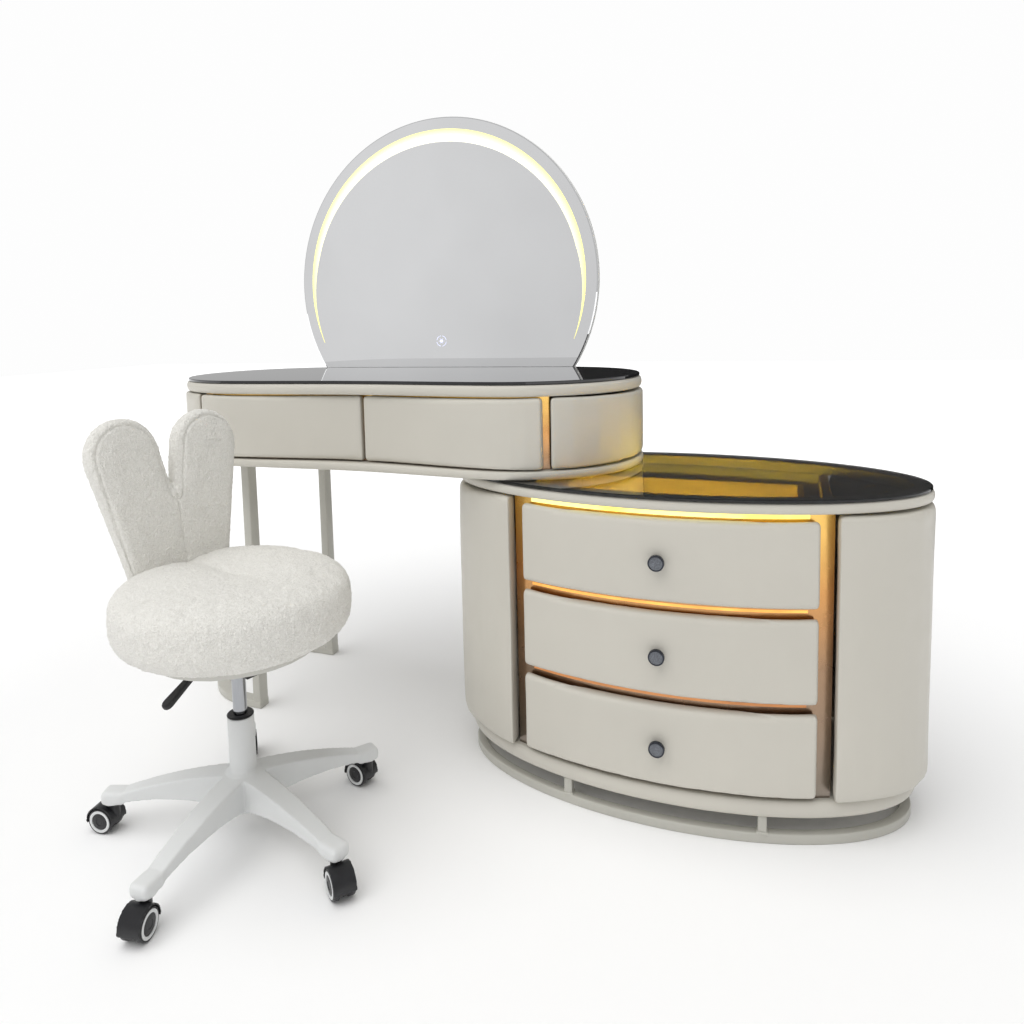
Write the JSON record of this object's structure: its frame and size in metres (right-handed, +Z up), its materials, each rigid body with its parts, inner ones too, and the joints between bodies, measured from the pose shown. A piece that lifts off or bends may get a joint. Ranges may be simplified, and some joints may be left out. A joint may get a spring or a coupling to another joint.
{
  "type": "salon styling station",
  "caption": "Dressing station: padded oval drawer cabinet, kidney-shaped desk with round lit mirror, and a swivel stool on casters.",
  "frame": {"origin": "on the floor, under the middle of the bounding box of the whole set", "axes": "+X to the right along the length of desk and cabinet, +Y to the back, +Z up; the drawers open towards -Y"},
  "size_m": [1.5264, 1.02, 1.333],
  "materials": {
    "leatherette": "smooth satin synthetic leather over foam, warm off-white",
    "painted_steel": "satin powder coat, warm light grey",
    "bronze_trim": "glossy bronze mirror finish",
    "tinted_glass": "glossy black tinted glass",
    "lamp_strip": "translucent diffuser, lit warm yellow",
    "board": "melamine-faced board",
    "runner_steel": "zinc-plated",
    "knob_metal": "brushed grey face with a darker rim",
    "mirror_face": "silvered glass",
    "mirror_case": "white moulded frame",
    "boucle": "cream white looped fabric",
    "chrome_rod": "polished",
    "white_nylon": "white moulded nylon, soft sheen",
    "black_plastic": "black moulded plastic"
  },
  "bodies": {
    "furniture": {"base_frame": "painted_steel", "plinth": "leatherette", "left_side_shell": "leatherette", "right_side_shell": "leatherette", "cabinet_back": "leatherette", "left_partition": "board", "right_partition": "board", "face_frame": "bronze_trim", "cabinet_rim": "leatherette", "cabinet_glass": "tinted_glass", "cabinet_light": "lamp_strip", "upper_drawer_runner": "runner_steel", "middle_drawer_runner": "runner_steel", "lower_drawer_runner": "runner_steel", "desk_base": "leatherette", "desk_rim": "leatherette", "desk_glass": "tinted_glass", "desk_left_end": "leatherette", "desk_right_end": "leatherette", "desk_back": "leatherette", "desk_face_frame": "bronze_trim", "desk_divider": "board", "left_desk_drawer_runner": "runner_steel", "right_desk_drawer_runner": "runner_steel", "leg_frame": "painted_steel", "mirror_glass": "mirror_face", "mirror_light": "lamp_strip", "mirror_case": "mirror_case"},
    "upper_drawer": {"upper_drawer_front": "leatherette", "upper_drawer_box": "board", "upper_drawer_knob": "knob_metal"},
    "middle_drawer": {"middle_drawer_front": "leatherette", "middle_drawer_box": "board", "middle_drawer_knob": "knob_metal"},
    "lower_drawer": {"lower_drawer_front": "leatherette", "lower_drawer_box": "board", "lower_drawer_knob": "knob_metal"},
    "left_desk_drawer": {"left_desk_drawer_front": "leatherette", "left_desk_drawer_box": "board"},
    "right_desk_drawer": {"right_desk_drawer_front": "leatherette", "right_desk_drawer_box": "board"},
    "stool_base": {"star_base": "white_nylon", "gas_column": "white_nylon", "column_bush": "black_plastic"},
    "lift": {"gas_piston": "chrome_rod"},
    "seat": {"seat_mount": "black_plastic", "seat_board": "board", "seat_cushion": "boucle", "backrest": "boucle"},
    "lever": {"height_lever": "black_plastic"},
    "caster_1_swivel": {"caster_1_fork": "black_plastic"},
    "caster_1_wheel_pair": {"caster_1_wheels": "black_plastic"},
    "caster_2_swivel": {"caster_2_fork": "black_plastic"},
    "caster_2_wheel_pair": {"caster_2_wheels": "black_plastic"},
    "caster_3_swivel": {"caster_3_fork": "black_plastic"},
    "caster_3_wheel_pair": {"caster_3_wheels": "black_plastic"},
    "caster_4_swivel": {"caster_4_fork": "black_plastic"},
    "caster_4_wheel_pair": {"caster_4_wheels": "black_plastic"},
    "caster_5_swivel": {"caster_5_fork": "black_plastic"},
    "caster_5_wheel_pair": {"caster_5_wheels": "black_plastic"}
  },
  "joints": [
    {"name": "upper_drawer_slide", "type": "slide", "parent": "furniture", "child": "upper_drawer", "axis": [0, -1, 0], "range_m": [0, 0.25]},
    {"name": "middle_drawer_slide", "type": "slide", "parent": "furniture", "child": "middle_drawer", "axis": [0, -1, 0], "range_m": [0, 0.25]},
    {"name": "lower_drawer_slide", "type": "slide", "parent": "furniture", "child": "lower_drawer", "axis": [0, -1, 0], "range_m": [0, 0.25]},
    {"name": "left_desk_drawer_slide", "type": "slide", "parent": "furniture", "child": "left_desk_drawer", "axis": [0, -1, 0], "range_m": [0, 0.08]},
    {"name": "right_desk_drawer_slide", "type": "slide", "parent": "furniture", "child": "right_desk_drawer", "axis": [0, -1, 0], "range_m": [0, 0.25]},
    {"name": "stool_roll", "type": "slide", "parent": "furniture", "child": "stool_base", "axis": [0, -1, 0], "range_m": [0, 0.5]},
    {"name": "seat_height", "type": "slide", "parent": "stool_base", "child": "lift", "axis": [0, 0, 1], "range_m": [-0.003, 0.09]},
    {"name": "seat_swivel", "type": "hinge", "parent": "lift", "child": "seat", "pos_m": [-0.31175, -0.23584, 0.3], "axis": [0, 0, 1], "continuous": true},
    {"name": "height_lever_pull", "type": "hinge", "parent": "seat", "child": "lever", "pos_m": [-0.32383, -0.26159, 0.3074], "axis": [-0.9659, 0.2588, 0], "range_deg": [0, 6], "stiffness_Nm_per_rad": 1, "springref_deg": -11.46},
    {"name": "caster_1_swivel_turn", "type": "hinge", "parent": "stool_base", "child": "caster_1_swivel", "pos_m": [-0.18097, -0.04907, 0.052], "axis": [0, 0, 1], "continuous": true},
    {"name": "caster_1_roll", "type": "hinge", "parent": "caster_1_swivel", "child": "caster_1_wheel_pair", "pos_m": [-0.19858, -0.04533, 0.0225], "axis": [-0.2079, -0.9781, 0], "continuous": true},
    {"name": "caster_2_swivel_turn", "type": "hinge", "parent": "stool_base", "child": "caster_2_swivel", "pos_m": [-0.44896, -0.05375, 0.052], "axis": [0, 0, 1], "continuous": true},
    {"name": "caster_2_roll", "type": "hinge", "parent": "caster_2_swivel", "child": "caster_2_wheel_pair", "pos_m": [-0.46053, -0.03996, 0.0225], "axis": [-0.766, -0.6428, 0], "continuous": true},
    {"name": "caster_3_swivel_turn", "type": "hinge", "parent": "stool_base", "child": "caster_3_swivel", "pos_m": [-0.52733, -0.31007, 0.052], "axis": [0, 0, 1], "continuous": true},
    {"name": "caster_3_roll", "type": "hinge", "parent": "caster_3_swivel", "child": "caster_3_wheel_pair", "pos_m": [-0.54515, -0.31257, 0.0225], "axis": [0.1392, -0.9903, 0], "continuous": true},
    {"name": "caster_4_swivel_turn", "type": "hinge", "parent": "stool_base", "child": "caster_4_swivel", "pos_m": [-0.30777, -0.4638, 0.052], "axis": [0, 0, 1], "continuous": true},
    {"name": "caster_4_roll", "type": "hinge", "parent": "caster_4_swivel", "child": "caster_4_wheel_pair", "pos_m": [-0.30464, -0.48153, 0.0225], "axis": [0.9848, 0.1736, 0], "continuous": true},
    {"name": "caster_5_swivel_turn", "type": "hinge", "parent": "stool_base", "child": "caster_5_swivel", "pos_m": [-0.09371, -0.3025, 0.052], "axis": [0, 0, 1], "continuous": true},
    {"name": "caster_5_roll", "type": "hinge", "parent": "caster_5_swivel", "child": "caster_5_wheel_pair", "pos_m": [-0.07992, -0.31407, 0.0225], "axis": [0.6428, 0.766, 0], "continuous": true}
  ]
}
